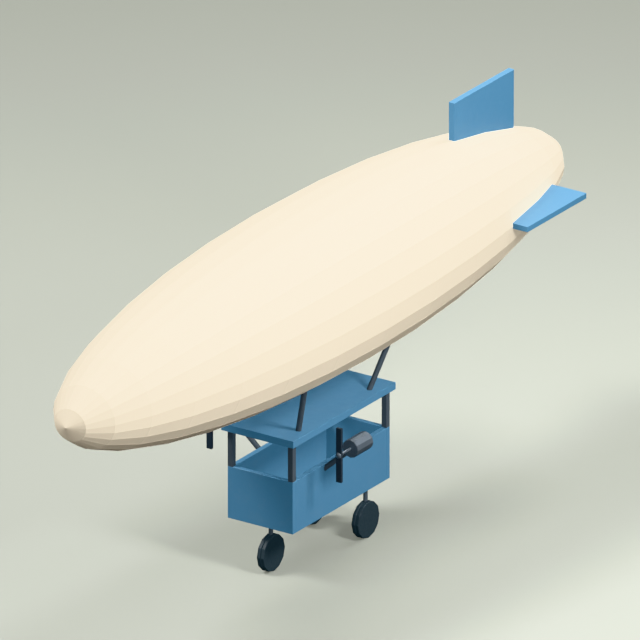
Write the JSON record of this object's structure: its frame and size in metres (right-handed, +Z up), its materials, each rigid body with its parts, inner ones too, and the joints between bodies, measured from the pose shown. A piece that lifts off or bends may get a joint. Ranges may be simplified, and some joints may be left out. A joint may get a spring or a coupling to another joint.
{
  "type": "airship",
  "caption": "Airship with a faceted cream envelope, blue tail fins, open blue gondola under a flat roof, outrigger engines with propellers and wheeled landing gear.",
  "frame": {"origin": "on the floor, under the middle of the envelope's length, on the plane of symmetry", "axes": "+Z up, -Y towards the nose, +X towards the left-hand side of someone who faces forward"},
  "size_m": [4.07, 18.1603, 8.2],
  "materials": {
    "envelope_fabric": "matt coated cream envelope fabric",
    "blue_fin_fabric": "blue doped fabric over a light frame",
    "blue_paint": "satin mid-blue paint",
    "dark_paint": "satin slate-black paint",
    "grey_metal": "satin grey metal",
    "wheel_rubber": "matt blue-black rubber"
  },
  "bodies": {
    "airframe": {"envelope": "envelope_fabric", "tail_cap": "envelope_fabric", "fin_top": "blue_fin_fabric", "fin_left": "blue_fin_fabric", "fin_right": "blue_fin_fabric", "roof": "blue_paint", "gondola_floor": "blue_paint", "gondola_front_wall": "blue_paint", "gondola_rear_wall": "blue_paint", "gondola_left_wall": "blue_paint", "gondola_right_wall": "blue_paint", "post_front_left": "dark_paint", "post_front_right": "dark_paint", "post_rear_left": "dark_paint", "post_rear_right": "dark_paint", "strut_front_left": "dark_paint", "strut_front_right": "dark_paint", "strut_rear_left": "dark_paint", "strut_rear_right": "dark_paint", "engine_arm_left": "dark_paint", "engine_arm_right": "dark_paint", "engine_left": "grey_metal", "engine_right": "grey_metal", "main_leg_left": "dark_paint", "main_leg_right": "dark_paint", "main_wheel_left_axle": "grey_metal", "main_wheel_right_axle": "grey_metal"},
    "nose_gear": {"nose_leg": "dark_paint", "nose_wheel_axle": "grey_metal"},
    "nose_wheel": {"nose_wheel_disc_left": "wheel_rubber", "nose_wheel_disc_right": "wheel_rubber"},
    "main_wheel_left": {"main_wheel_left_disc_left": "wheel_rubber", "main_wheel_left_disc_right": "wheel_rubber"},
    "main_wheel_right": {"main_wheel_right_disc_left": "wheel_rubber", "main_wheel_right_disc_right": "wheel_rubber"},
    "propeller_left": {"propeller_shaft_left": "grey_metal", "propeller_blade_left": "dark_paint", "propeller_spinner_left": "grey_metal"},
    "propeller_right": {"propeller_shaft_right": "grey_metal", "propeller_blade_right": "dark_paint", "propeller_spinner_right": "grey_metal"}
  },
  "joints": [
    {"name": "nose_steering", "type": "hinge", "parent": "airframe", "child": "nose_gear", "pos_m": [0, -1.517, 1.1345], "axis": [0, 0, 1], "range_deg": [-40, 40]},
    {"name": "nose_wheel_spin", "type": "hinge", "parent": "nose_gear", "child": "nose_wheel", "pos_m": [0, -1.517, 0.405], "axis": [1, 0, 0], "continuous": true},
    {"name": "main_wheel_left_spin", "type": "hinge", "parent": "airframe", "child": "main_wheel_left", "pos_m": [0.66, 1.04, 0.405], "axis": [1, 0, 0], "continuous": true},
    {"name": "main_wheel_right_spin", "type": "hinge", "parent": "airframe", "child": "main_wheel_right", "pos_m": [-0.66, 1.04, 0.405], "axis": [1, 0, 0], "continuous": true},
    {"name": "propeller_left_spin", "type": "hinge", "parent": "airframe", "child": "propeller_left", "pos_m": [1.62, -1.38, 2.9285], "axis": [0, 1, 0], "continuous": true},
    {"name": "propeller_right_spin", "type": "hinge", "parent": "airframe", "child": "propeller_right", "pos_m": [-1.62, -1.38, 2.9285], "axis": [0, 1, 0], "continuous": true}
  ]
}
